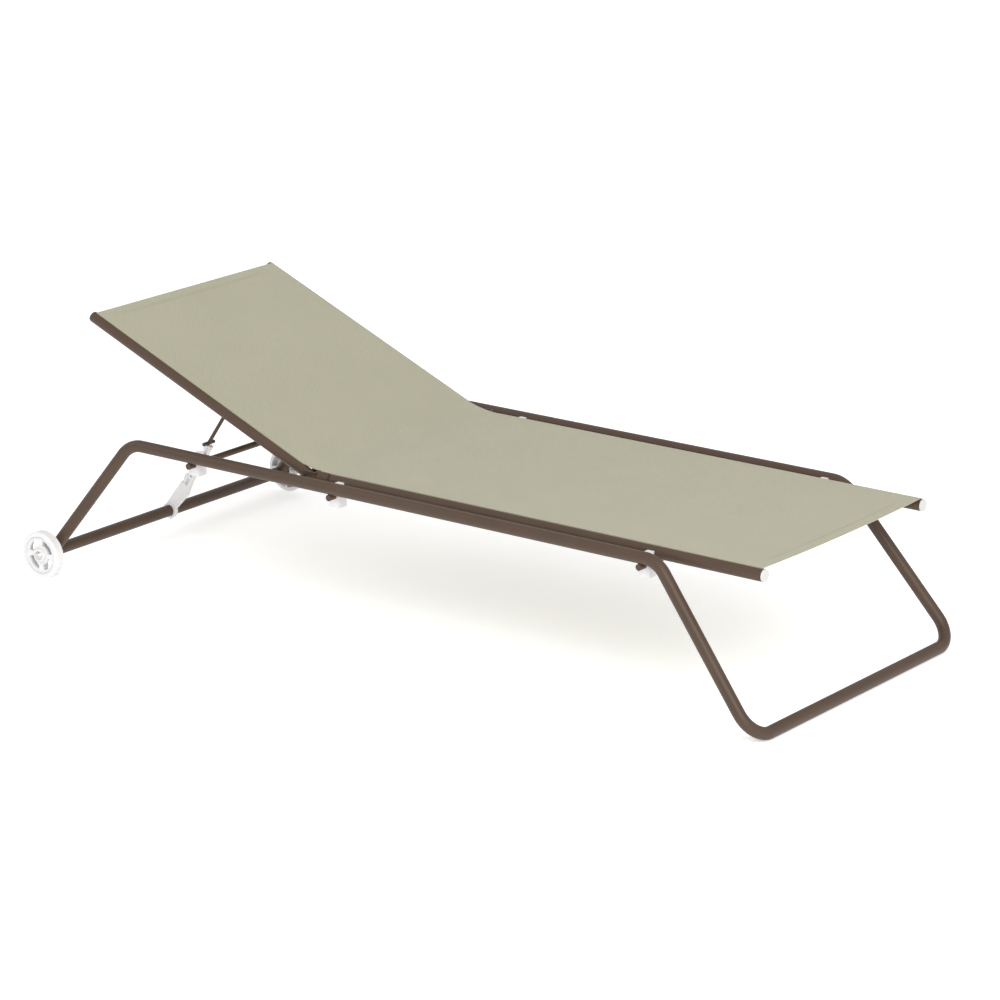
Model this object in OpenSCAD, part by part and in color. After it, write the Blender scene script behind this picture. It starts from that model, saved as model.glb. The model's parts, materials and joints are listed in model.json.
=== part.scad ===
// Reclining sun lounger: bent tube base on two wheels, sling seat and a back that tilts.
// +X points to the foot end, +Z is up, millimetres.

/* [Base] */
// distance between the centres of the two side rails
frame_w = 650; // [560:1:760]
// distance between the front legs at the floor
foot_w = 718; // [600:1:860]
// distance between the rear legs at the axle
axle_w = 742; // [620:1:880]
// height of the rail centres above the floor
rail_z = 306; // [240:1:380]
// hinge line to the knee of the rear legs
rear_knee = 450; // [380:1:520]
// hinge line to the wheel axle
axle_x = 640; // [560:1:720]
// hinge line to the knee of the front legs
front_knee = 880; // [760:1:960]
// hinge line to the floor bar at the foot end
floor_bar_x = 1123; // [1000:1:1300]
// radius of the knees, on the tube centre
knee_r = 60; // [40:1:90]
// radius of the floor bar corners, on the tube centre
corner_r = 52; // [35:1:80]

/* [Tubes] */
// outside diameter of the base tubes and seat rails
tube_d = 25; // [20:0.5:30]
// wall of the base tubes and spreader bars
tube_wall = 1.5; // [1:0.1:2.5]
// outside diameter of the back rails
back_d = 23; // [20:0.5:30]
// diameter of the cross rods under the rails
rod_d = 13; // [10:0.5:16]
// depth that a cross rod is let into the tubes above it
rod_seat = 0.6; // [0.3:0.1:1]
// place of the cross rod under the back, from the hinge line
head_rod = 285; // [200:1:380]
// place of the cross rod near the hinge line
mid_rod = 87; // [70:1:140]
// place of the cross rod near the front knees
foot_rod = 842; // [700:1:860]

/* [Seat] */
// hinge line to the foot end of the seat rails
seat_len = 1089; // [900:1:1300]
// clear gap between a side rail and a seat rail
rail_gap = 20.5; // [18:0.5:40]
// length of a spacer block along the rails
spacer_len = 26; // [20:1:50]
// length of its neck between the rails
spacer_neck = 15; // [10:1:20]
// depth of a spacer block below the rail centres
spacer_drop = 42; // [30:1:60]
// height of a spacer block above the rail centres
spacer_rise = 5; // [2:1:10]
// width of a spacer block
spacer_w = 24; // [20:1:40]

/* [Back] */
// hinge line to the head end of the back rails
back_len = 632; // [500:1:760]
// tilt of the back at rest, above level
tilt = 22.5; // [5:0.5:37]
// diameter of the hinge rod
hinge_d = 10; // [8:0.5:12]
// play between the hinge rod and the back rails, on the radius
hinge_play = 0.07; // [0.02:0.01:0.1]
// play beside each moving part
side_play = 0.5; // [0.3:0.1:1]
// thickness of a hinge ear
ear_t = 2.5; // [2:0.5:4]
// length of the hinge socket on the seat rail
socket_len = 34; // [20:1:60]
// diameter of the two spreader bars
spreader_d = 14; // [12:0.5:14]
// hinge line to the spreader bar at the head
head_bar = 596; // [420:1:740]

/* [Sling] */
// thickness of the sling
sling_t = 1.6; // [1:0.1:3]
// diameter of the bead along each edge
bead_d = 4.6; // [4:0.1:6]
// play of the bead in its groove
bead_play = 0.2; // [0.1:0.05:0.4]
// sling edge to the end of the rails
sling_inset = 3; // [2:1:20]
// sling edge to the hinge line
sling_hinge = 26; // [22:1:60]

/* [Strut] */
// hinge line to the strut bar, along the back
strut_at = 392; // [300:1:460]
// length of the strut between its centres
strut_len = 285; // [240:1:330]
// diameter of the strut and of its cross pin
strut_d = 8; // [6:0.5:10]
// length of the cross pin
pin_len = 34; // [24:1:50]
// outside diameter of the strut eye
eye_d = 20; // [17:0.2:22]
// width of the strut eye
eye_w = 24; // [14:1:40]

/* [Rack] */
// angle of the strut above level
strut_a = 55.4; // [45:0.1:65]
// angle of the toothed edge above level
rack_a = 54; // [50:0.5:60]
// thickness of the rack
rack_t = 10; // [10:1:24]
// number of seats for the pin
seats = 6; // [3:1:7]
// distance between two seats
seat_pitch = 24; // [18:1:30]
// play under the pin in its seat
seat_play = 1.4; // [1.2:0.1:2]
// thickness of the ring round the axle tube
ring_t = 4.5; // [3:0.5:8]

/* [Wheels] */
// wheel diameter
wheel_d = 100; // [80:1:140]
// width of the tread
wheel_w = 24; // [16:1:40]
// width of the hub
hub_w = 28; // [20:1:44]
// diameter of the axle bolts
axle_d = 10; // [8:0.5:12]
// play between a wheel and its bolt, on the radius
axle_play = 0.08; // [0.02:0.01:0.1]
// number of spokes, and of the slots between them
spokes = 4; // [3:1:8]

/* [Hidden] */
$fn = 64;
r = tube_d / 2;
rb = back_d / 2;
rr = rod_d / 2;
y_rail = frame_w / 2;
y_foot = foot_w / 2;
y_axle = axle_w / 2;
y_seat = y_rail - rail_gap - tube_d;
axle_z = wheel_d / 2;
bar_z = r;
rod_z = rail_z - r - rr + rod_seat;
// cross rod end to the outer side of the base tube
rod_short = 5;
// neck of a spacer block: its start below the rail centres
neck_low = 5;

// plan centre of the whole lounger
end_foot = max(floor_bar_x + r, seat_len + 3);
back_reach = back_len * cos(tilt) + rb * sin(tilt) + 4;
end_head = max(axle_x + wheel_d / 2, back_reach);
x_mid = (end_foot - end_head) / 2;

// hinge fork and the rail end that turns in it
rail_end = 12;
fork_gap = 1.5;
seat_start = norm([rail_end, rb]) + fork_gap;
ear_in = r + side_play;
ear_out = ear_in + ear_t;
ear_r = 14;
nut_t = 5;
nut_d = 17;
// opening in the socket past the middle of the rail
way_out = 4;

// keder rail section
bead_r = bead_d / 2;
slot_w = sling_t + 2 * bead_play;
lip = 2.2;
rail_wall = 1.8;
// between the top of a rail and the cloth that lies over it
cloth_gap = 0.2;

// strut foot, relative to the axle
eye_pos = [-strut_at * cos(tilt), rail_z + strut_at * sin(tilt)];
foot_pos = eye_pos - strut_len * [cos(strut_a), sin(strut_a)];
foot_rel = foot_pos - [-axle_x, axle_z];
seat_u = foot_rel[0] * cos(rack_a) + foot_rel[1] * sin(rack_a);
seat_w = -foot_rel[0] * sin(rack_a) + foot_rel[1] * cos(rack_a);
pin_r = strut_d / 2;
floor_u = seat_u - pin_r - seat_play;
lip_out = 0.3;
lip_in = pin_r + 1.2;
edge_bulge = 3;
tip_w = seat_w + 2.4;
notch = 7;
ring_r = r + ring_t;

// wheels
hub_in = y_axle + r + 1.5;
hub_mid = hub_in + hub_w / 2;
hub_r = 14;
rim_t = 9;
// face of the wheel: its depth inside the tread's outer edge and its thickness
face_in = 4;
face_t = 5;
head_t = 4.5;
head_r = 9.5;
plug_len = 22;

brown = [0.38, 0.31, 0.27];
khaki = [0.69, 0.68, 0.59];
white = [0.93, 0.93, 0.91];
grey = [0.74, 0.74, 0.73];
dark = [0.16, 0.14, 0.13];
steel = [0.72, 0.72, 0.73];

// sub-part to show, or all

// ---- frames ----

// hinge line at the origin of X, floor at Z 0
module placed() {
  translate([-x_mid, 0, 0]) children();
}

// back frame: X along the back towards the head, Z away from its underside
module on_back() {
  placed()
    translate([0, 0, rail_z])
      rotate([0, tilt, 0])
        mirror([1, 0, 0])
          children();
}

// side: -1 for left of a person lying on it with the head at -X, 1 for right
module side(s) {
  if (s > 0) children();
  else mirror([0, 1, 0]) children();
}

// ---- tubes ----

function unit(v) = v / norm(v);
function turn(p, q, s) = acos(unit(q - p) * unit(s - q));
function tan_len(p, q, s, bend) = bend * tan(turn(p, q, s) / 2);
function t_in(p, q, s, bend) = q + unit(p - q) * tan_len(p, q, s, bend);
function t_out(p, q, s, bend) = q + unit(s - q) * tan_len(p, q, s, bend);

module run(a, b, rad) {
  d = b - a;
  translate(a)
    rotate([0, acos(d[2] / norm(d)), atan2(d[1], d[0])])
      cylinder(h = norm(d), r = rad);
}

// straight tube between two points
module pipe(a, b) {
  d = unit(b - a);
  difference() {
    run(a, b, r);
    run(a - d, b + d, r - tube_wall);
  }
}

// section of the base tube
module tube_ring() {
  difference() {
    circle(r = r);
    circle(r = r - tube_wall);
  }
}

// tube swept from the origin of Y round a centre at X 0
module tube_bend(bend, angle) {
  rotate_extrude(angle = angle)
    translate([bend, 0])
      tube_ring();
}

// tube that comes straight along p to q for the length given, then bends round q towards s
module bent_pipe(p, q, s, bend, length) {
  a = t_in(p, q, s, bend);
  c = q + unit(unit(p - q) + unit(s - q)) * bend / cos(turn(p, q, s) / 2);
  ax = unit(a - c);
  ay = unit(q - p);
  az = cross(ax, ay);
  multmatrix([
    [ax[0], ay[0], az[0], c[0]],
    [ax[1], ay[1], az[1], c[1]],
    [ax[2], ay[2], az[2], c[2]],
    [0, 0, 0, 1]
  ]) {
    tube_bend(bend, turn(p, q, s));
    translate([bend, 0, 0])
      rotate([90, 0, 0])
        linear_extrude(height = length)
          tube_ring();
  }
}

// corner points of the right hand side tube
foot_head = [-axle_x, y_axle, axle_z];
knee_head = [-rear_knee, y_rail, rail_z];
knee_foot = [front_knee, y_rail, rail_z];
foot_foot = [floor_bar_x, y_foot, bar_z];
bar_mid = [floor_bar_x, 0, bar_z];

// ---- base ----

// legs from the knees down: to the axle tube at the head, to the floor bar at the foot
module rear_leg(s) {
  knee_at = t_in(foot_head, knee_head, knee_foot, knee_r);
  color(brown) placed() side(s)
    difference() {
      bent_pipe(foot_head, knee_head, knee_foot, knee_r, norm(knee_at - foot_head) - 4);
      translate([-axle_x, 0, axle_z])
        rotate([-90, 0, 0])
          cylinder(h = axle_w, r = r);
    }
}

module side_rail(s) {
  color(brown) placed() side(s)
    pipe(
      t_out(foot_head, knee_head, knee_foot, knee_r),
      t_in(knee_head, knee_foot, foot_foot, knee_r)
    );
}

module front_leg(s) {
  knee_at = t_in(foot_foot, knee_foot, knee_head, knee_r);
  corner_at = t_in(knee_foot, foot_foot, bar_mid, corner_r);
  color(brown) placed() side(s)
    bent_pipe(foot_foot, knee_foot, knee_head, knee_r, norm(knee_at - corner_at));
}

// bar on the floor with a corner up to each front leg, drawn flat and leant back with them
module floor_bar() {
  lean = atan2(rail_z - bar_z, front_knee - floor_bar_x);
  straight = y_foot - tan_len(knee_foot, foot_foot, bar_mid, corner_r);
  color(brown) placed()
    translate([floor_bar_x, 0, bar_z])
      rotate([0, -lean, 0]) {
        translate([0, straight, 0])
          rotate([90, 0, 0])
            linear_extrude(height = 2 * straight)
              tube_ring();
        for (s = [-1, 1]) side(s)
          translate([corner_r, straight, 0])
            mirror([1, 0, 0])
              tube_bend(corner_r, turn(knee_foot, foot_foot, bar_mid));
      }
}

// tube between the rear legs, with plugged ends that take the axle bolts
module axle_tube() {
  half = y_axle + r;
  color(brown) placed()
    translate([-axle_x, 0, axle_z])
      rotate([-90, 0, 0])
        difference() {
          translate([0, 0, -half]) cylinder(h = 2 * half, r = r);
          translate([0, 0, plug_len - half])
            cylinder(h = 2 * (half - plug_len), r = r - tube_wall);
          translate([0, 0, -half - 1])
            cylinder(h = 2 * half + 2, r = axle_d / 2);
        }
}

// solid lines of the tubes above a cross rod, used as cutters
module rail_line(y, rad) {
  translate([-rear_knee, y, rail_z])
    rotate([0, 90, 0])
      cylinder(h = rear_knee + seat_len, r = rad);
}

module cross_rod(x, under_seat) {
  color(brown) placed()
    difference() {
      translate([x, -y_rail - r + rod_short, rod_z])
        rotate([-90, 0, 0])
          cylinder(h = 2 * (y_rail + r - rod_short), r = rr);
      for (s = [-1, 1]) {
        rail_line(s * y_rail, r);
        if (under_seat) rail_line(s * y_seat, r);
      }
    }
}

// moulded block between the rails, clipped over its cross rod
// play is the gap to the rail beside it, which is nothing where that rail is fixed
module spacer(x, s, play) {
  y_gap = y_rail - r - rail_gap / 2;
  color(white) placed() side(s)
    difference() {
      union() {
        translate([x - spacer_len / 2, y_gap - spacer_w / 2, rail_z - spacer_drop])
          cube([spacer_len, spacer_w, spacer_drop - neck_low]);
        translate([x - spacer_neck / 2, y_gap - spacer_w / 2, rail_z - spacer_drop])
          cube([spacer_neck, spacer_w, spacer_drop + spacer_rise]);
      }
      rail_line(y_rail, r);
      rail_line(y_seat, r + play);
      // way up for a rail that lifts out
      if (play > 0)
        translate([x - spacer_len, y_seat, rail_z])
          cube([2 * spacer_len, r + play, spacer_rise + 1]);
      translate([x, y_gap - spacer_w, rod_z])
        rotate([-90, 0, 0])
          cylinder(h = 2 * spacer_w, r = rr);
      // finger pocket in the underside
      translate([x - spacer_len / 2 + 3, y_gap - spacer_w / 2 + 3, rail_z - spacer_drop - 1])
        cube([spacer_len - 6, spacer_w - 6, spacer_drop - r - rod_d - 5]);
    }
}

// ---- seat ----

// section of a sling rail, its groove at the top
module rail_sketch(rad) {
  at = rad - lip - bead_r;
  difference() {
    circle(r = rad);
    translate([0, at]) circle(r = bead_r + bead_play);
    translate([-slot_w / 2, at]) square([slot_w, rad]);
    difference() {
      circle(r = rad - rail_wall);
      translate([0, at]) circle(r = bead_r + bead_play + rail_wall);
      translate([-slot_w / 2 - rail_wall, at])
        square([slot_w + 2 * rail_wall, rad]);
    }
  }
}

// section of the sling's edge: bead and web
module edge_sketch(rad) {
  at = rad - lip - bead_r;
  translate([0, at]) circle(r = bead_r);
  translate([-sling_t / 2, at]) square([sling_t, rad - at + cloth_gap + sling_t / 2]);
}

// section across the whole sling, between two rails at +-y_seat
module sling_sketch(rad) {
  half = y_seat + sling_t / 2;
  translate([-y_seat, 0]) edge_sketch(rad);
  mirror([1, 0]) translate([-y_seat, 0]) edge_sketch(rad);
  translate([-half, rad + cloth_gap])
    square([2 * half, sling_t]);
}

// stands a sketch up across the lounger and runs it along +X
module along_x(x0, x1) {
  translate([x0, 0, 0])
    rotate([90, 0, 90])
      linear_extrude(height = x1 - x0)
        children();
}

module seat_rail(s) {
  color(brown) placed() side(s)
    translate([0, y_seat, rail_z])
      along_x(seat_start, seat_len)
        mirror([1, 0]) rail_sketch(r);
}

// light plug in the foot end of a seat rail
module seat_plug(s) {
  color(grey) placed() side(s)
    translate([seat_len, y_seat, rail_z])
      rotate([0, 90, 0])
        cylinder(h = 3, r1 = r, r2 = r - 1);
}

module seat_sling() {
  color(khaki) placed()
    translate([0, 0, rail_z])
      along_x(sling_hinge, seat_len - sling_inset)
        sling_sketch(r);
}

// ---- hinge ----

// socket round the head end of a seat rail with two ears for the hinge rod
module hinge_socket(s) {
  color(brown) placed() side(s)
    translate([0, y_seat, rail_z])
      difference() {
        union() {
          translate([seat_start, 0, 0])
            rotate([0, 90, 0])
              cylinder(h = socket_len, r = ear_out);
          translate([0, ear_out, 0])
            rotate([90, 0, 0])
              cylinder(h = 2 * ear_out, r = ear_r);
          translate([0, -ear_out, -ear_r])
            cube([seat_start + 4, 2 * ear_out, 2 * ear_r]);
        }
        // room for the back rail
        translate([-2 * ear_r, -ear_in, -2 * ear_r])
          cube([2 * ear_r + seat_start, 2 * ear_in, 4 * ear_r]);
        // the seat rail
        rotate([0, 90, 0])
          cylinder(h = seat_start + socket_len + 1, r = r);
        translate([0, ear_out + 1, 0])
          rotate([90, 0, 0])
            cylinder(h = 2 * ear_out + 2, r = hinge_d / 2);
        // way out for the sling
        translate([sling_hinge - 2, -ear_out - 1, r * 0.55])
          cube([socket_len + seat_start, ear_out + 1 + way_out, ear_out]);
      }
}

module hinge_rod() {
  half = y_seat + ear_out + nut_t;
  color(dark) placed()
    translate([0, half, rail_z])
      rotate([90, 0, 0])
        cylinder(h = 2 * half, r = hinge_d / 2);
}

module hinge_nuts() {
  color(dark) placed()
    for (s = [-1, 1]) side(s)
      translate([0, y_seat + ear_out, rail_z])
        rotate([-90, 0, 0])
          difference() {
            cylinder(h = nut_t, r1 = nut_d / 2, r2 = nut_d / 2 - 1.5);
            translate([0, 0, -1]) cylinder(h = nut_t + 2, r = hinge_d / 2);
          }
}

// ---- rack ----

function tip_at(u) = tip_w + edge_bulge * 4 * (u / floor_u) * (1 - u / floor_u);

// outline of the rack, u along the toothed edge and w out of it
module rack_sketch() {
  first = floor_u - (seats - 1) * seat_pitch;
  teeth = [
    for (i = [1 : seats - 1])
      let (u = floor_u - i * seat_pitch)
        each [
          [u + seat_pitch * 0.62, tip_at(u + seat_pitch * 0.62)],
          [u, tip_at(u) - notch],
          [u, tip_at(u)]
        ]
  ];
  polygon(concat(
    [
      [0, 0],
      [16, -10],
      [first * 0.8, -17],
      [first * 1.2, -10],
      [seat_u - 1.2, seat_w - lip_in - 7],
      [seat_u - 1.2, seat_w - lip_in],
      [floor_u, seat_w - lip_in],
      [floor_u, seat_w + lip_out],
      [floor_u - 2.4, tip_w]
    ],
    teeth,
    [
      [0, ring_r * 0.9]
    ]
  ));
}

module rack() {
  color(white) placed()
    translate([-axle_x, rack_t / 2, axle_z])
      rotate([90, 0, 0])
        difference() {
          linear_extrude(height = rack_t)
            difference() {
              union() {
                circle(r = ring_r);
                rotate(rack_a) rack_sketch();
              }
              circle(r = r);
            }
          // lightening pockets in both faces
          rotate(rack_a)
            for (i = [1 : seats - 1])
              for (z = [-1, rack_t - 4])
                translate([floor_u - i * seat_pitch + 3, seat_w - lip_in - 6, z])
                  cube([seat_pitch - 6, 6.5, 5]);
          // hole for the clamp screw
          rotate([90, 0, 0])
            translate([0, rack_t / 2, r - 1])
              cylinder(h = ring_t + 3, r = 2);
        }
}

module rack_screw() {
  color(steel) placed()
    translate([-axle_x, 0, axle_z - ring_r])
      rotate([180, 0, 0]) {
        cylinder(h = 2.2, r1 = 4.2, r2 = 3);
        translate([0, 0, -ring_t]) cylinder(h = ring_t, r = 2);
      }
}

// ---- wheels ----

module wheel(s) {
  slot_in = hub_r + 7;
  slot_out = wheel_d / 2 - rim_t - 8;
  half_a = 180 / spokes - 12;
  face_z = wheel_w / 2 - face_in;
  color(white) placed() side(s)
    translate([-axle_x, hub_mid, axle_z])
      rotate([-90, 0, 0])
        difference() {
          union() {
            translate([0, 0, -hub_w / 2]) cylinder(h = hub_w, r = hub_r);
            translate([0, 0, face_z - face_t]) cylinder(h = face_t, r = wheel_d / 2 - 1);
            rotate_extrude() rim_sketch();
            for (i = [0 : spokes - 1])
              rotate(i * 360 / spokes)
                translate([0, -2, 1 - wheel_w / 2])
                  cube([wheel_d / 2 - 4, 4, wheel_w - face_in - 2]);
          }
          translate([0, 0, -hub_w]) cylinder(h = 2 * hub_w, r = axle_d / 2 + axle_play);
          // slots between the spokes
          for (i = [0 : spokes - 1])
            rotate((i + 0.5) * 360 / spokes)
              translate([0, 0, -hub_w])
                linear_extrude(height = 2 * hub_w)
                  intersection() {
                    difference() {
                      circle(r = slot_out);
                      circle(r = slot_in);
                    }
                    polygon([
                      [0, 0],
                      [wheel_d * cos(half_a), wheel_d * sin(half_a)],
                      [wheel_d * cos(half_a), -wheel_d * sin(half_a)]
                    ]);
                  }
        }
}

// tread with rounded shoulders
module rim_sketch() {
  c = 3;
  difference() {
    translate([wheel_d / 2 - rim_t, -wheel_w / 2])
      square([rim_t, wheel_w]);
    for (s = [-1, 1])
      translate([wheel_d / 2, s * wheel_w / 2])
        rotate(45)
          square(c * sqrt(2), center = true);
  }
}

// one stepped bolt each side: head, bearing length and the part in the axle tube
module axle_bolts() {
  color(steel) placed()
    for (s = [-1, 1]) side(s)
      translate([-axle_x, y_axle + r, axle_z])
        rotate([-90, 0, 0]) {
          translate([0, 0, -plug_len + 2])
            cylinder(h = plug_len + hub_w + 0.2, r = axle_d / 2);
          // washer face between the tube and the hub
          cylinder(h = 1.2, r = axle_d / 2 + 3);
          translate([0, 0, 1.5 + hub_w + 0.3])
            cylinder(h = head_t, r1 = head_r, r2 = head_r - 3);
        }
}

// ---- back ----

module back_rail(s) {
  color(brown) on_back() side(s)
    translate([0, y_seat, 0])
      difference() {
        along_x(-rail_end, back_len)
          mirror([1, 0]) rail_sketch(rb);
        rotate([90, 0, 0])
          translate([0, 0, -back_d])
            cylinder(h = 2 * back_d, r = hinge_d / 2 + hinge_play);
      }
}

module back_plug(s) {
  color(dark) on_back() side(s)
    translate([back_len, y_seat, 0])
      rotate([0, 90, 0])
        cylinder(h = 3, r1 = rb, r2 = rb - 1);
}

module back_bar(x) {
  difference() {
    translate([x, y_seat, 0])
      rotate([90, 0, 0])
        cylinder(h = 2 * y_seat, r = spreader_d / 2);
    translate([x, y_seat, 0])
      rotate([90, 0, 0])
        cylinder(h = 2 * y_seat, r = spreader_d / 2 - tube_wall);
    for (s = [-1, 1])
      translate([x - back_d, s * y_seat, 0])
        rotate([0, 90, 0])
          cylinder(h = 2 * back_d, r = rb);
  }
}

module spreader_head() {
  color(brown) on_back() back_bar(head_bar);
}

module strut_bar() {
  color(brown) on_back() back_bar(strut_at);
}

module strut_collars() {
  color(dark) on_back()
    for (s = [-1, 1]) side(s)
      translate([strut_at, eye_w / 2 + side_play, 0])
        rotate([-90, 0, 0])
          difference() {
            cylinder(h = 6, r = eye_d / 2);
            translate([0, 0, -1]) cylinder(h = 8, r = spreader_d / 2);
          }
}

module back_sling() {
  color(khaki) on_back()
    along_x(sling_hinge, back_len - sling_inset)
      sling_sketch(rb);
}

// ---- strut ----

module strut() {
  color(brown) placed()
    difference() {
      union() {
        run([eye_pos[0], 0, eye_pos[1]], [foot_pos[0], 0, foot_pos[1]], pin_r);
        translate([eye_pos[0], eye_w / 2, eye_pos[1]])
          rotate([90, 0, 0])
            cylinder(h = eye_w, r = eye_d / 2);
        translate([foot_pos[0], pin_len / 2, foot_pos[1]])
          rotate([90, 0, 0])
            cylinder(h = pin_len, r = pin_r);
      }
      translate([eye_pos[0], eye_w, eye_pos[1]])
        rotate([90, 0, 0])
          cylinder(h = 2 * eye_w, r = spreader_d / 2 + hinge_play);
    }
}

// ---- nodes ----

rear_leg(-1);  // rear_leg_left
rear_leg(1);  // rear_leg_right
side_rail(-1);  // side_rail_left
side_rail(1);  // side_rail_right
front_leg(-1);  // front_leg_left
front_leg(1);  // front_leg_right
floor_bar();
axle_tube();
cross_rod(-head_rod, false);  // cross_rod_head
cross_rod(mid_rod, true);  // cross_rod_mid
cross_rod(foot_rod, true);  // cross_rod_foot
seat_rail(-1);  // seat_rail_left
seat_rail(1);  // seat_rail_right
seat_plug(-1);  // seat_plug_left
seat_plug(1);  // seat_plug_right
spacer(-head_rod, -1, side_play);  // spacer_head_left
spacer(-head_rod, 1, side_play);  // spacer_head_right
spacer(mid_rod, -1, 0);  // spacer_mid_left
spacer(mid_rod, 1, 0);  // spacer_mid_right
spacer(foot_rod, -1, 0);  // spacer_foot_left
spacer(foot_rod, 1, 0);  // spacer_foot_right
hinge_socket(-1);  // hinge_socket_left
hinge_socket(1);  // hinge_socket_right
hinge_rod();
hinge_nuts();
rack();
rack_screw();
axle_bolts();
seat_sling();
wheel(-1);  // wheel_left
wheel(1);  // wheel_right
back_rail(-1);  // back_rail_left
back_rail(1);  // back_rail_right
back_plug(-1);  // back_plug_left
back_plug(1);  // back_plug_right
spreader_head();
strut_bar();
strut_collars();
back_sling();
strut();
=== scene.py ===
# Reclining sun lounger: finishes, sling cloth, stitches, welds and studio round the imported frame.
# Metres throughout, +X towards the foot end, +Z up.

import json
import math

import bmesh
import bpy
from mathutils import Matrix, Vector


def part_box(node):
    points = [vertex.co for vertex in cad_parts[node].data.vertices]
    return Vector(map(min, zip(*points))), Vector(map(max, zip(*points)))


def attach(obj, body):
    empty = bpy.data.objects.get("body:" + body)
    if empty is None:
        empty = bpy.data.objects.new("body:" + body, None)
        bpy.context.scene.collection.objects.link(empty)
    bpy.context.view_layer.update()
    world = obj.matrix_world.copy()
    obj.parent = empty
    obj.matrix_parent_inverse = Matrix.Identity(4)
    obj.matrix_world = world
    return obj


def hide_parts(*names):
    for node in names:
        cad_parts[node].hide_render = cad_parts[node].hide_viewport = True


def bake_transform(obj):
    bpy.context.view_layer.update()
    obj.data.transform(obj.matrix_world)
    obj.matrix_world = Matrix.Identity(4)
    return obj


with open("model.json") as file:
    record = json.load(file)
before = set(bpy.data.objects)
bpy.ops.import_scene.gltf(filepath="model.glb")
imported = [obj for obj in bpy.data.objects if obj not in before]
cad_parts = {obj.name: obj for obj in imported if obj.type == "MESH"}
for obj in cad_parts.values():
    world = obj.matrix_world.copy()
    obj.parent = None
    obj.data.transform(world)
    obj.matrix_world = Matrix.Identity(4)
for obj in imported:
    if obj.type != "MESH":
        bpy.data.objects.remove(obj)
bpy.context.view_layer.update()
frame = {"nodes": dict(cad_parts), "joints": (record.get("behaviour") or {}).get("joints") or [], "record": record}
print("frame loaded")

mm = 0.001


# helpers for colours and shader nodes

def linearChannel(value):
    if value <= 0.04045:
        return value / 12.92
    return ((value + 0.055) / 1.055) ** 2.4


def hexColour(text):
    channels = [int(text[i:i + 2], 16) / 255 for i in (1, 3, 5)]
    return (*[linearChannel(c) for c in channels], 1.0)


def addNode(tree, kind, settings=None, links=None):
    # adds a node, sets its sockets or properties and links its inputs
    node = tree.nodes.new(kind)
    for name, value in (settings or {}).items():
        if isinstance(name, str) and name not in node.inputs:
            setattr(node, name, value)
        else:
            node.inputs[name].default_value = value
    for name, source in (links or {}).items():
        tree.links.new(source, node.inputs[name])
    return node


def calculate(tree, operation, first, second=None):
    # one Math node; each side is a socket or a number
    node = addNode(tree, "ShaderNodeMath", {"operation": operation})
    for slot, side in enumerate((first, second)):
        if side is None:
            continue
        if isinstance(side, (int, float)):
            node.inputs[slot].default_value = side
        else:
            tree.links.new(side, node.inputs[slot])
    return node.outputs[0]


def mixColours(tree, share, first, second):
    node = addNode(tree, "ShaderNodeMix", {"data_type": "RGBA"})
    for slot, side in ((0, share), (6, first), (7, second)):
        if isinstance(side, (int, float, tuple)):
            node.inputs[slot].default_value = side
        else:
            tree.links.new(side, node.inputs[slot])
    return node.outputs[2]


def spread(tree, source, low, high):
    # maps 0...1 to low...high
    node = addNode(tree, "ShaderNodeMapRange", {"To Min": low, "To Max": high}, {"Value": source})
    return node.outputs["Result"]


def noise(tree, coordinates, featureSize, detail=3.0):
    # featureSize is the rough size of a blotch, in metres
    node = addNode(
        tree, "ShaderNodeTexNoise",
        {"Scale": 1 / featureSize, "Detail": detail, "Roughness": 0.55},
        {"Vector": coordinates},
    )
    return node.outputs["Fac"]


def startMaterial(name):
    material = bpy.data.materials.new(name)
    material.use_nodes = True
    tree = material.node_tree
    tree.nodes.clear()
    output = addNode(tree, "ShaderNodeOutputMaterial")
    shader = addNode(tree, "ShaderNodeBsdfPrincipled")
    tree.links.new(shader.outputs[0], output.inputs["Surface"])
    where = addNode(tree, "ShaderNodeTexCoord").outputs["Object"]
    return material, tree, shader, where


def addBump(tree, shader, height, depth):
    # depth is the height of the relief, in metres
    bump = addNode(
        tree, "ShaderNodeBump", {"Distance": depth, "Strength": 1.0}, {"Height": height}
    )
    tree.links.new(bump.outputs[0], shader.inputs["Normal"])


# finishes, one for each slot of the record

coatLook = {
    "brown": "#463529",        # the coat in plain light
    "worn": "#544234",         # where hands and feet have polished it
    "blotch": 0.09,            # size of the faint cloudiness
    "grain": 0.0007,           # orange peel of the powder
    "grainDepth": 0.00006,
    "roughness": (0.4, 0.56),
}


def powderCoat():
    # baked polyester powder on steel tube: satin, with a fine orange peel
    material, tree, shader, where = startMaterial("brownPowderCoat")
    cloud = noise(tree, where, coatLook["blotch"])
    grain = noise(tree, where, coatLook["grain"], 2.0)
    patches = spread(tree, cloud, -0.25, 0.75)
    base = mixColours(tree, patches, hexColour(coatLook["brown"]), hexColour(coatLook["worn"]))
    speck = spread(tree, grain, 0.93, 1.05)
    shade = addNode(tree, "ShaderNodeHueSaturation", {}, {"Color": base, "Value": speck})
    tree.links.new(shade.outputs[0], shader.inputs["Base Color"])
    tree.links.new(spread(tree, cloud, *coatLook["roughness"]), shader.inputs["Roughness"])
    shader.inputs["Specular IOR Level"].default_value = 0.32
    shader.inputs["Coat Weight"].default_value = 0.05
    shader.inputs["Coat Roughness"].default_value = 0.3
    addBump(tree, shader, grain, coatLook["grainDepth"])
    return material


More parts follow.
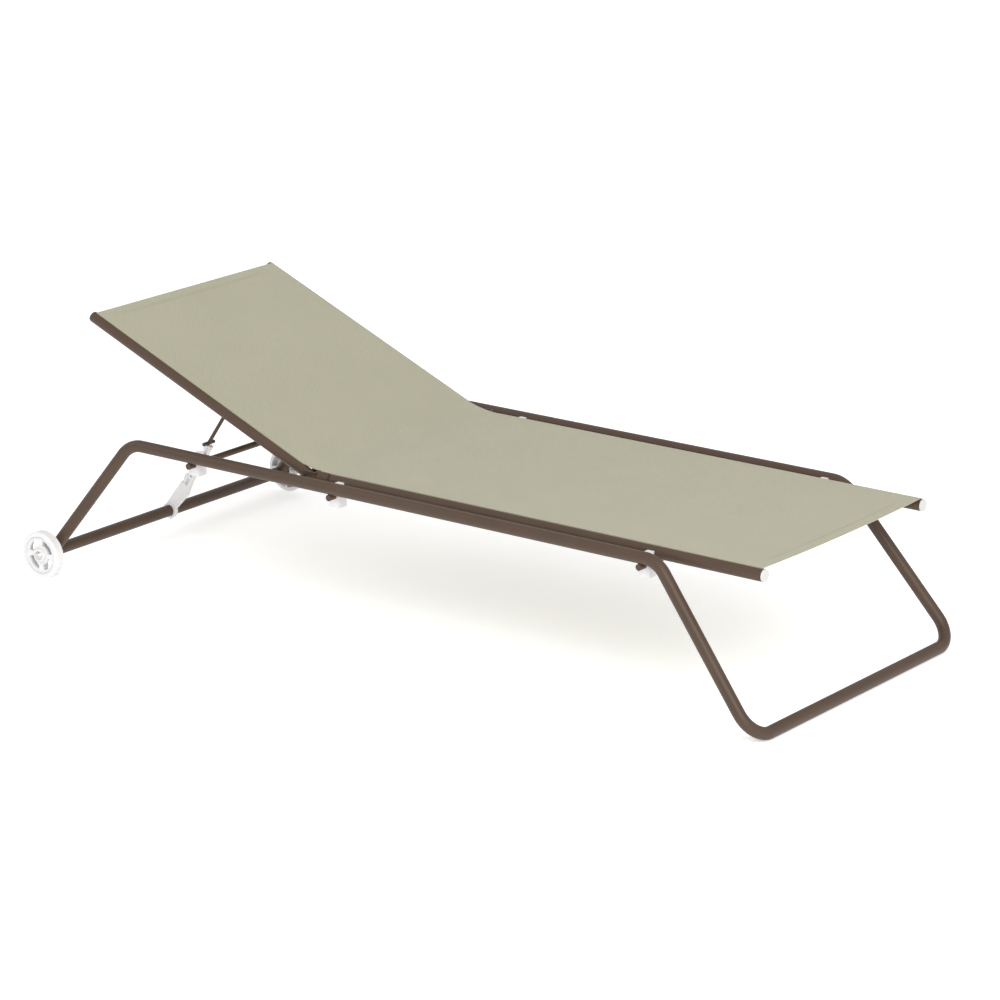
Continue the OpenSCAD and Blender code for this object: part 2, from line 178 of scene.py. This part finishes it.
clothLook = {
    "warp": "#cdc9b0",         # yarns that run from head to foot
    "weft": "#b6b296",         # yarns that run across
    "gap": "#666350",          # painted shade down between the yarns
    "pitch": 0.0019,           # centre to centre of two yarns
    "relief": 0.0005,
    "fleck": 0.005,            # size of the flecks in the weave
    "tone": 0.16,              # size of the slow change of tone
    "streakScale": 420.0,      # streaks a metre across the cloth
    "streakStretch": 0.04,     # share of that along the yarns
    "roughness": 0.68,
}


def wovenCloth():
    # plain weave of coated polyester yarns, with painted shade between the yarns; UV holds the cloth's own metres
    material, tree, shader, where = startMaterial("khakiSlingWeave")
    flat = addNode(tree, "ShaderNodeUVMap", {"uv_map": "cloth"}).outputs[0]
    parts = addNode(tree, "ShaderNodeSeparateXYZ", {}, {0: flat})
    turns = math.pi / clothLook["pitch"]
    acrossWave = calculate(tree, "SINE", calculate(tree, "MULTIPLY", parts.outputs[0], turns))
    alongWave = calculate(tree, "SINE", calculate(tree, "MULTIPLY", parts.outputs[1], turns))
    warpHump = calculate(tree, "ABSOLUTE", acrossWave)
    weftHump = calculate(tree, "ABSOLUTE", alongWave)
    # the sign of the product tells which yarn is on top
    crossing = calculate(tree, "MULTIPLY", acrossWave, alongWave)
    warpOnTop = calculate(tree, "GREATER_THAN", crossing, 0.0)
    body = calculate(tree, "MULTIPLY", warpHump, weftHump)
    height = calculate(tree, "POWER", body, 0.5)
    drawnOut = addNode(
        tree, "ShaderNodeMapping", {"Scale": (1, clothLook["streakStretch"], 1)}, {0: flat}
    ).outputs[0]
    streak = addNode(
        tree, "ShaderNodeTexNoise", {"Scale": clothLook["streakScale"], "Detail": 1.0},
        {"Vector": drawnOut},
    ).outputs["Fac"]
    tone = noise(tree, where, clothLook["tone"])
    fleck = noise(tree, flat, clothLook["fleck"], 2.0)
    yarn = mixColours(tree, warpOnTop, hexColour(clothLook["weft"]), hexColour(clothLook["warp"]))
    # painted shade: the weave darkens to the gap colour down between the yarns, where the yarn height falls to
    # nothing
    yarnsWithGapShade = mixColours(tree, height, hexColour(clothLook["gap"]), yarn)
    light = calculate(tree, "MULTIPLY", spread(tree, streak, 0.93, 1.07), spread(tree, tone, 0.95, 1.05))
    light = calculate(tree, "MULTIPLY", light, spread(tree, fleck, 0.88, 1.12))
    shade = addNode(tree, "ShaderNodeHueSaturation", {}, {"Color": yarnsWithGapShade, "Value": light})
    tree.links.new(shade.outputs[0], shader.inputs["Base Color"])
    shader.inputs["Roughness"].default_value = clothLook["roughness"]
    shader.inputs["Sheen Weight"].default_value = 0.18
    shader.inputs["Sheen Roughness"].default_value = 0.45
    shader.inputs["Specular IOR Level"].default_value = 0.35
    addBump(tree, shader, height, clothLook["relief"])
    return material


def mouldedPlastic(name, colour, dusty, roughness):
    # injection moulded: faint flow marks, spark-eroded skin and a little dust
    material, tree, shader, where = startMaterial(name)
    flow = noise(tree, where, 0.03, 2.0)
    skin = noise(tree, where, 0.0009, 2.0)
    base = mixColours(tree, spread(tree, flow, -0.2, 0.6), hexColour(colour), hexColour(dusty))
    tree.links.new(base, shader.inputs["Base Color"])
    tree.links.new(spread(tree, skin, roughness - 0.06, roughness + 0.08), shader.inputs["Roughness"])
    shader.inputs["Specular IOR Level"].default_value = 0.45
    addBump(tree, shader, skin, 0.00004)
    return material


def zincSteel():
    # zinc plate over turned steel: fine turning marks and a cloudy passivation
    material, tree, shader, where = startMaterial("zincPlatedSteel")
    stretched = addNode(tree, "ShaderNodeMapping", {"Scale": (1, 0.08, 1)}, {0: where}).outputs[0]
    marks = noise(tree, stretched, 0.0006, 2.0)
    cloud = noise(tree, where, 0.012)
    base = mixColours(tree, cloud, hexColour("#b9babb"), hexColour("#d3d2cc"))
    tree.links.new(base, shader.inputs["Base Color"])
    tree.links.new(spread(tree, marks, 0.24, 0.46), shader.inputs["Roughness"])
    shader.inputs["Metallic"].default_value = 1.0
    addBump(tree, shader, marks, 0.00003)
    return material


def darkCoatedSteel():
    # thin dark coat on a steel rod, rubbed to metal in small specks
    material, tree, shader, where = startMaterial("darkCoatedSteel")
    cloud = noise(tree, where, 0.02)
    speck = noise(tree, where, 0.0022, 4.0)
    rubbed = calculate(tree, "GREATER_THAN", speck, 0.72)
    coat = mixColours(tree, cloud, hexColour("#2c2622"), hexColour("#3a322c"))
    base = mixColours(tree, calculate(tree, "MULTIPLY", rubbed, 0.6), coat, hexColour("#77706a"))
    tree.links.new(base, shader.inputs["Base Color"])
    tree.links.new(spread(tree, cloud, 0.35, 0.5), shader.inputs["Roughness"])
    shader.inputs["Metallic"].default_value = 0.35
    addBump(tree, shader, speck, 0.00005)
    return material


finishes = {
    "frame": powderCoat(),
    "sling": wovenCloth(),
    "white_plastic": mouldedPlastic("whitePolypropylene", "#dfdedf", "#d0cfcd", 0.4),
    "grey_plastic": mouldedPlastic("lightGreyPolypropylene", "#c6c6c4", "#b4b3ae", 0.42),
    "dark_plastic": mouldedPlastic("darkBrownPolypropylene", "#3a302b", "#463b35", 0.38),
    "steel": zincSteel(),
    "dark_steel": darkCoatedSteel(),
}
threadFinish = mouldedPlastic("polyesterThread", "#9a977f", "#8a876f", 0.6)

for part in frame["record"]["subparts"]:
    mesh = frame["nodes"][part["node"]].data
    mesh.materials.clear()
    mesh.materials.append(finishes[part["material_slot"]])
print("finishes made")


# places, all read from the frame

def boxCentre(node):
    low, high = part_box(node)
    return (low + high) / 2


backJoint = next(j for j in frame["joints"] if j["name"] == "back_recline")
hinge = Vector(backJoint["pos_m"])
railLow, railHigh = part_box("seat_rail_right")
railRadius = (railHigh.y - railLow.y) / 2
railY = (railHigh.y + railLow.y) / 2
backLow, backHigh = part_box("back_rail_right")
backRadius = (backHigh.y - backLow.y) / 2
seatLength = railHigh.x - hinge.x
# the head plug gives the tilt: reach and rise of the far end from the hinge
plugSpot = boxCentre("back_plug_right") - hinge
tilt = math.atan2(plugSpot.z, -plugSpot.x)
plugLength = 3 * mm
backLength = math.hypot(plugSpot.x, plugSpot.z) - plugLength / 2


# the sling: one cloth over the seat, the hinge and the back

slingCut = {
    "thickness": 1.2 * mm,
    "hem": 30 * mm,             # turned-in band at each end
    "hemThickness": 1.8 * mm,
    "hemFade": 0.6 * mm,        # half the length over which the hem thins out
    "inset": 3 * mm,            # rail end to cloth end
    "clear": 1.0 * mm,          # middle of the cloth above the top of the rail
    "tuck": 3.2 * mm,           # how far the edge goes down into the groove
    "bendReach": 45 * mm,       # hinge line to the start of the free curve
    "bendLift": 0.4 * mm,
    "blendReach": 30 * mm,      # hinge line to where the cloth follows one side only
    "seatSag": 4.5 * mm,
    "backSag": 3.5 * mm,
    "across": 40,               # faces between the rails
    "step": 12 * mm,            # faces along the cloth
    "endStations": (0.2 * mm, 0.7 * mm, 2 * mm),
}


def smooth(low, high, value):
    t = min(max((value - low) / (high - low), 0), 1)
    return t * t * (3 - 2 * t)


def slingStations():
    # stations from head to foot: point, upward direction, and distance past the hinge line
    reach = slingCut["bendReach"]
    radius = reach / math.tan(tilt / 2)
    headEnd = backLength - slingCut["inset"]
    footEnd = seatLength - slingCut["inset"]
    upBack = Vector((math.sin(tilt), 0, math.cos(tilt)))
    stations = []

    def spaced(start, end, step):
        count = max(2, round(abs(end - start) / step))
        return [start + (end - start) * i / count for i in range(count + 1)]

    # close stations near each end carry the round of the fold
    close = slingCut["endStations"]
    step = slingCut["step"]
    for s in [headEnd - gap for gap in close[:2]] + spaced(headEnd - close[2], reach, step)[:-1]:
        stations.append((Vector((-s * math.cos(tilt), 0, s * math.sin(tilt))), upBack, -s))
    for a in spaced(tilt, 0, tilt / 14):
        spot = Vector((reach - radius * math.sin(a), 0, radius - radius * math.cos(a)))
        stations.append((spot, Vector((math.sin(a), 0, math.cos(a))), reach * (1 - 2 * a / tilt)))
    for x in spaced(reach, footEnd - close[2], step)[1:] + [footEnd - gap for gap in close[1::-1]]:
        stations.append((Vector((x, 0, 0)), Vector((0, 0, 1)), x))
    return stations


def slingSag(past, share):
    # past is measured from the hinge line towards the foot; share is 0 at a rail and 1 in the middle
    if past > 0:
        depth = slingCut["seatSag"] * smooth(0.04, 0.22, past)
        pull = 0.5 * mm * math.sin(past * 41) + 0.35 * mm * math.sin(past * 97 + 1.3)
    else:
        belowBar = math.sin(math.pi * min(max((-past - 0.04) / 0.31, 0), 1)) ** 2
        aboveBar = math.sin(math.pi * min(max((-past - 0.42) / 0.22, 0), 1)) ** 2
        depth = slingCut["backSag"] * (belowBar + 0.5 * aboveBar)
        pull = 0.25 * mm * math.sin(past * 53) * (belowBar + aboveBar)
    return depth * share + pull * share * smooth(0.04, 0.16, abs(past))


def slingProfile(past):
    # edge of the cloth: distance in from the rail's middle, height and normal of each row
    flatShare = smooth(-slingCut["bendReach"], slingCut["bendReach"], past)
    top = backRadius + (railRadius - backRadius) * flatShare + slingCut["clear"]
    # over the hinge the edge is out of its groove
    free = 1 - smooth(0.019, 0.034, abs(past))
    tuck = slingCut["tuck"] * (1 - free) + 0.5 * mm * free
    rows = []
    for share in (1.0, 0.66, 0.33):
        rows.append((Vector((0, top - 0.6 * mm - tuck * share)), Vector((-1, 0))))
    # short round corner where the cloth turns out of the groove
    corner = (
        (0.06, 0.4, (-0.92, 0.39)),
        (0.35, 0.08, (-0.45, 0.89)),
        (1.1, 0, (0, 1)),
    )
    for inward, below, normal in corner:
        rows.append((Vector((inward * mm, top - below * mm)), Vector(normal)))
    return rows


def slingRing(station):
    # closed ring of points round the cloth at one station
    spot, up, past = station
    rows = slingProfile(past)
    endGap = min(backLength - slingCut["inset"] + past if past < 0 else 9,
                 seatLength - slingCut["inset"] - past if past > 0 else 9)
    fade = slingCut["hemFade"]
    hemShare = 1 - smooth(slingCut["hem"] - fade, slingCut["hem"] + fade, endGap)
    half = (slingCut["thickness"] + (slingCut["hemThickness"] - slingCut["thickness"]) * hemShare) / 2
    # the fold at the very end is round
    half *= math.sqrt(min(1, (endGap + 0.15 * mm) / (1.2 * mm)))
    lift = slingCut["bendLift"] * (1 - smooth(0, slingCut["bendReach"], abs(past)))
    startGap = rows[-1][0].x
    level = rows[-1][0].y
    count = slingCut["across"]
    middles = []
    for point, normal in rows:
        grip = min(half, slingCut["thickness"] / 2)
        middles.append((point.x - railY, point.y, normal.x, normal.y, grip))
    for i in range(1, count):
        share = i / count
        wide = 2 * (railY - startGap)
        drop = slingSag(past, 1 - (2 * share - 1) ** 2)
        grip = half if 0.01 < share < 0.99 else min(half, slingCut["thickness"] / 2)
        middles.append((startGap - railY + wide * share, level - drop, 0.0, 1.0, grip))
    for point, normal in reversed(rows):
        grip = min(half, slingCut["thickness"] / 2)
        middles.append((railY - point.x, point.y, -normal.x, normal.y, grip))
    ring = []
    for sign, order in ((1, middles), (-1, list(reversed(middles)))):
        for y, n, ny, nn, grip in order:
            raised = n + lift + sign * grip * nn
            ring.append(hinge + spot + up * raised + Vector((0, y + sign * grip * ny, 0)))
    return ring, [m[0] for m in middles]


def makeSling():
    stations = slingStations()
    mesh = bmesh.new()
    rings = []
    acrossPlaces = []
    for station in stations:
        ring, places = slingRing(station)
        rings.append([mesh.verts.new(p) for p in ring])
        acrossPlaces.append(places)
    count = len(rings[0])
    half = count // 2
    uv = mesh.loops.layers.uv.new("cloth")

    def place(row, column):
        return acrossPlaces[row][column if column < half else count - 1 - column]

    def paint(face, corners):
        for loop, (row, column) in zip(face.loops, corners):
            loop[uv].uv = (place(row, column), stations[row][2])
        face.smooth = True

    for row in range(len(rings) - 1):
        for column in range(count):
            following = (column + 1) % count
            corners = [(row, column), (row + 1, column), (row + 1, following), (row, following)]
            paint(mesh.faces.new([rings[r][c] for r, c in corners]), corners)
    for row, flip in ((0, False), (len(rings) - 1, True)):
        for column in range(half - 1):
            corners = [(row, column), (row, column + 1),
                       (row, count - 2 - column), (row, count - 1 - column)]
            if flip:
                corners.reverse()
            paint(mesh.faces.new([rings[r][c] for r, c in corners]), corners)
    bmesh.ops.recalc_face_normals(mesh, faces=mesh.faces)
    cloth = bpy.data.meshes.new("slingCloth")
    mesh.to_mesh(cloth)
    mesh.free()
    piece = bpy.data.objects.new("slingCloth", cloth)
    bpy.context.scene.collection.objects.link(piece)
    cloth.materials.append(finishes["sling"])
    return piece, stations


sling, stations = makeSling()
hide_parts("seat_sling", "back_sling")
print("sling made")


# beads set in a row by geometry nodes, for stitches and welds

def rowTree(name, material, bead, spacing, seed, wobble):
    # lays flattened beads along every edge line of the mesh that carries it
    tree = bpy.data.node_groups.new(name, "GeometryNodeTree")
    face = tree.interface
    face.new_socket("Line", in_out="INPUT", socket_type="NodeSocketGeometry")
    sockets = {
        "Spacing": ("NodeSocketFloat", spacing),
        "Bead size": ("NodeSocketVector", bead),
        "Wobble": ("NodeSocketFloat", wobble),
        "Seed": ("NodeSocketInt", seed),
    }
    made = {}
    for label, (kind, value) in sockets.items():
        made[label] = face.new_socket(label, in_out="INPUT", socket_type=kind)
        made[label].default_value = value
    face.new_socket("Beads", in_out="OUTPUT", socket_type="NodeSocketGeometry")
    given = addNode(tree, "NodeGroupInput").outputs
    line = addNode(tree, "GeometryNodeMeshToCurve", {}, {"Mesh": given["Line"]})
    spaced = addNode(
        tree, "GeometryNodeResampleCurve", {"mode": "LENGTH"},
        {"Curve": line.outputs[0], "Length": given["Spacing"]},
    )
    ball = addNode(tree, "GeometryNodeMeshIcoSphere", {"Radius": 1.0, "Subdivisions": 2})
    shaped = addNode(
        tree, "GeometryNodeTransform", {},
        {"Geometry": ball.outputs[0], "Scale": given["Bead size"]},
    )
    tangent = addNode(tree, "GeometryNodeInputTangent")
    turned = addNode(
        tree, "FunctionNodeAlignRotationToVector", {"axis": "X"}, {"Vector": tangent.outputs[0]}
    )
    least = addNode(tree, "ShaderNodeMath", {"operation": "SUBTRACT", 0: 1.0}, {1: given["Wobble"]})
    most = addNode(tree, "ShaderNodeMath", {"operation": "ADD", 0: 1.0}, {1: given["Wobble"]})
    uneven = addNode(
        tree, "FunctionNodeRandomValue", {"data_type": "FLOAT"},
        {2: least.outputs[0], 3: most.outputs[0], "Seed": given["Seed"]},
    )
    beads = addNode(
        tree, "GeometryNodeInstanceOnPoints", {},
        {"Points": spaced.outputs[0], "Instance": shaped.outputs[0],
         "Rotation": turned.outputs[0], "Scale": uneven.outputs[1]},
    )
    real = addNode(tree, "GeometryNodeRealizeInstances", {}, {0: beads.outputs[0]})
    rounded = addNode(tree, "GeometryNodeSetShadeSmooth", {}, {0: real.outputs[0]})
    painted = addNode(tree, "GeometryNodeSetMaterial", {"Material": material}, {0: rounded.outputs[0]})
    addNode(tree, "NodeGroupOutput", {}, {0: painted.outputs[0]})
    return tree, made


def beadRow(name, lines, closed, look, material):
    # lines are lists of points; look holds the values a user would change
    points, edges = [], []
    for line in lines:
        first = len(points)
        points.extend(line)
        edges.extend((first + i, first + i + 1) for i in range(len(line) - 1))
        if closed:
            edges.append((first + len(line) - 1, first))
    mesh = bpy.data.meshes.new(name + "Lines")
    mesh.from_pydata([tuple(p) for p in points], edges, [])
    carrier = bpy.data.objects.new(name + "Lines", mesh)
    bpy.context.scene.collection.objects.link(carrier)
    tree, sockets = rowTree(name, material, look["bead"], look["spacing"], look["seed"], look["wobble"])
    modifier = carrier.modifiers.new("row", "NODES")
    modifier.node_group = tree
    modifier[sockets["Spacing"].identifier] = look["spacing"]
    modifier[sockets["Bead size"].identifier] = look["bead"]
    modifier[sockets["Wobble"].identifier] = look["wobble"]
    modifier[sockets["Seed"].identifier] = look["seed"]
    bpy.context.view_layer.update()
    ready = carrier.evaluated_get(bpy.context.evaluated_depsgraph_get())
    made = bpy.data.meshes.new_from_object(ready)
    made.name = name
    piece = bpy.data.objects.new(name, made)
    bpy.context.scene.collection.objects.link(piece)
    bpy.data.objects.remove(carrier)
    return piece


stitchLook = {
    "bead": (1.5 * mm, 0.38 * mm, 0.3 * mm),   # half length, half width, half height
    "spacing": 3.9 * mm,
    "wobble": 0.06,
    "seed": 4,
    "fromEnd": (22 * mm, 26 * mm),             # the two rows that hold each hem
    "edgePoints": 9,                           # points left out beside each rail
}


def stitchLines(headEnd):
    # two rows across the cloth, on its upper face, near one end
    edge = backLength - slingCut["inset"] if headEnd else seatLength - slingCut["inset"]
    rows = []
    for inset in stitchLook["fromEnd"]:
        along = edge - inset
        past = -along if headEnd else along
        if headEnd:
            spot = Vector((-along * math.cos(tilt), 0, along * math.sin(tilt)))
            up = Vector((math.sin(tilt), 0, math.cos(tilt)))
        else:
            spot, up = Vector((along, 0, 0)), Vector((0, 0, 1))
        ring, places = slingRing((spot, up, past))
        upper = ring[:len(places)]
        clear = stitchLook["edgePoints"]
        rows.append([p + up * 0.1 * mm for p in upper[clear:-clear]])
    return rows


headStitches = beadRow("headHemStitches", stitchLines(True), False, stitchLook, threadFinish)
footStitches = beadRow("footHemStitches", stitchLines(False), False, stitchLook, threadFinish)
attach(headStitches, "back")
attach(footStitches, "base")
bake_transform(sling)
print("stitches made")


# weld beads

weldLook = {
    "bead": (1.5 * mm, 1.15 * mm, 1.15 * mm),
    "spacing": 1.5 * mm,
    "wobble": 0.12,
    "seed": 11,
}
weldShape = {
    "ringAlong": 4.4 * mm,      # half size of the ring under a rail, along the rail
    "ringAcross": 5.2 * mm,
    "points": 24,
    # run of a rear leg from the axle to the corner of its knee: forwards, inwards, up
    "legRun": Vector((0.190, -0.046, 0.256)),
}


def rodWeldRings():
    # small oval bead where a cross rod meets a rail above it
    rings = []
    outer = boxCentre("side_rail_right").y
    for rod, railPlaces in (
        ("cross_rod_head", (outer,)),
        ("cross_rod_mid", (outer, railY)),
        ("cross_rod_foot", (outer, railY)),
    ):
        centre = boxCentre(rod)
        contact = hinge.z - railRadius
        for place in railPlaces:
            for side in (-1, 1):
                ring = []
                for i in range(weldShape["points"]):
                    a = 2 * math.pi * i / weldShape["points"]
                    dx = weldShape["ringAlong"] * math.cos(a)
                    dy = weldShape["ringAcross"] * math.sin(a)
                    dip = 0.7 * mm * math.cos(a) ** 2
                    ring.append(Vector((centre.x + dx, side * place + dy, contact + 0.5 * mm - dip)))
                rings.append(ring)
    return rings


def legWeldRings():
    # saddle line where a rear leg is coped on to the axle tube
    tubeLow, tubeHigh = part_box("axle_tube")
    radius = (tubeHigh.z - tubeLow.z) / 2
    centre = (tubeLow + tubeHigh) / 2
    rings = []
    for side in (-1, 1):
        run = weldShape["legRun"].normalized()
        run = Vector((run.x, side * run.y, run.z))
        firstSide = run.cross(Vector((0, 1, 0))).normalized()
        secondSide = run.cross(firstSide)
        foot = Vector((centre.x, side * (tubeHigh.y - radius), centre.z))
        ring = []
        for i in range(3 * weldShape["points"]):
            a = 2 * math.pi * i / (3 * weldShape["points"])
            out = firstSide * math.cos(a) + secondSide * math.sin(a)
            runShare = run.x ** 2 + run.z ** 2
            lean = radius * (out.x * run.x + out.z * run.z)
            reach = math.sqrt(lean ** 2 + runShare * radius ** 2 * out.y ** 2)
            rise = (reach - lean) / runShare
            ring.append(foot + out * (radius + 0.2 * mm) + run * (rise + 0.3 * mm))
        rings.append(ring)
    return rings


welds = beadRow("frameWelds", rodWeldRings() + legWeldRings(), True, weldLook, finishes["frame"])
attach(welds, "base")
print("welds made")


# mould rings on the wheels

wheelTrim = {
    "rings": ((17.5 * mm, 0.8 * mm), (37.5 * mm, 1.0 * mm), (41.5 * mm, 0.7 * mm)),  # radius, bead
    "faceDepth": 4 * mm,        # tread edge to the wheel's face
    "treadWidth": 24 * mm,
    "segments": 96,
    "beadSides": 10,
}


def makeWheelTrim(name, body):
    # raised mould rings on the outer face
    centre = boxCentre(body)
    side = 1 if centre.y > 0 else -1
    faceY = centre.y + side * (wheelTrim["treadWidth"] / 2 - wheelTrim["faceDepth"])
    mesh = bmesh.new()
    for radius, bead in wheelTrim["rings"]:
        loops = []
        for i in range(wheelTrim["segments"]):
            a = 2 * math.pi * i / wheelTrim["segments"]
            loop = []
            for k in range(wheelTrim["beadSides"]):
                b = 2 * math.pi * k / wheelTrim["beadSides"]
                far = radius + bead * math.cos(b)
                loop.append(mesh.verts.new((
                    centre.x + far * math.cos(a),
                    faceY + side * bead * 0.7 * math.sin(b),
                    centre.z + far * math.sin(a),
                )))
            loops.append(loop)
        for i, loop in enumerate(loops):
            following = loops[(i + 1) % len(loops)]
            for k in range(len(loop)):
                n = (k + 1) % len(loop)
                mesh.faces.new((loop[k], loop[n], following[n], following[k])).smooth = True
    bmesh.ops.recalc_face_normals(mesh, faces=mesh.faces)
    data = bpy.data.meshes.new(name)
    mesh.to_mesh(data)
    mesh.free()
    data.materials.append(finishes["white_plastic"])
    piece = bpy.data.objects.new(name, data)
    bpy.context.scene.collection.objects.link(piece)
    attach(piece, body)


makeWheelTrim("wheelRingsLeft", "wheel_left")
makeWheelTrim("wheelRingsRight", "wheel_right")
print("wheel trim made")


# studio: floor, lights, camera and world

studio = {
    "floorSize": 80.0,
    "floor": "#f4f4f4",
    "floorGlow": 0.35,          # bounced light that keeps the shadows pale
    "sky": 0.8,
    "key": 330.0,
    "keySize": 5.0,
    "fill": 25.0,
    "cameraSpot": (4.6075, -5.9867, 2.5060),
    "cameraRight": (0.795586, 0.605833, -0.003017),
    "cameraUp": (-0.172623, 0.231458, 0.957407),
    "lens": 139.47,
    "sensor": 36.0,
}


def makeFloor():
    half = studio["floorSize"] / 2
    mesh = bpy.data.meshes.new("studioFloor")
    corners = [(-half, -half, 0), (half, -half, 0), (half, half, 0), (-half, half, 0)]
    mesh.from_pydata(corners, [], [(0, 1, 2, 3)])
    floor = bpy.data.objects.new("studioFloor", mesh)
    bpy.context.scene.collection.objects.link(floor)
    material, tree, shader, where = startMaterial("paleFloor")
    tint = mixColours(tree, noise(tree, where, 1.5), hexColour(studio["floor"]), hexColour("#fbfbfa"))
    tree.links.new(tint, shader.inputs["Base Color"])
    shader.inputs["Roughness"].default_value = 0.8
    shader.inputs["Specular IOR Level"].default_value = 0.1
    shader.inputs["Emission Color"].default_value = (1, 1, 1, 1)
    shader.inputs["Emission Strength"].default_value = studio["floorGlow"]
    mesh.materials.append(material)


def makeLight(name, spot, size, power):
    lamp = bpy.data.lights.new(name, "AREA")
    lamp.shape = "DISK"
    lamp.size = size
    lamp.energy = power
    holder = bpy.data.objects.new(name, lamp)
    holder.location = spot
    holder.rotation_euler = (Vector((0, 0, 0.2)) - Vector(spot)).to_track_quat("-Z", "Y").to_euler()
    bpy.context.scene.collection.objects.link(holder)


def makeCamera():
    right = Vector(studio["cameraRight"]).normalized()
    up = Vector(studio["cameraUp"])
    back = right.cross(up).normalized()
    up = back.cross(right)
    data = bpy.data.cameras.new("studioCamera")
    data.lens = studio["lens"]
    data.sensor_width = studio["sensor"]
    data.clip_end = 200
    camera = bpy.data.objects.new("studioCamera", data)
    turn = Matrix((right, up, back)).transposed()
    camera.matrix_world = Matrix.Translation(studio["cameraSpot"]) @ turn.to_4x4()
    bpy.context.scene.collection.objects.link(camera)
    bpy.context.scene.camera = camera


def makeWorld():
    world = bpy.data.worlds.new("studioWorld")
    world.use_nodes = True
    background = world.node_tree.nodes["Background"]
    background.inputs["Color"].default_value = (1, 1, 1, 1)
    background.inputs["Strength"].default_value = studio["sky"]
    bpy.context.scene.world = world
    bpy.context.scene.view_settings.view_transform = "Standard"


makeFloor()
makeLight("keyLight", (4.6, -3.6, 4.4), studio["keySize"], studio["key"])
makeLight("fillLight", (-4.0, -2.5, 3.2), 3.0, studio["fill"])
makeCamera()
makeWorld()
print("studio made")
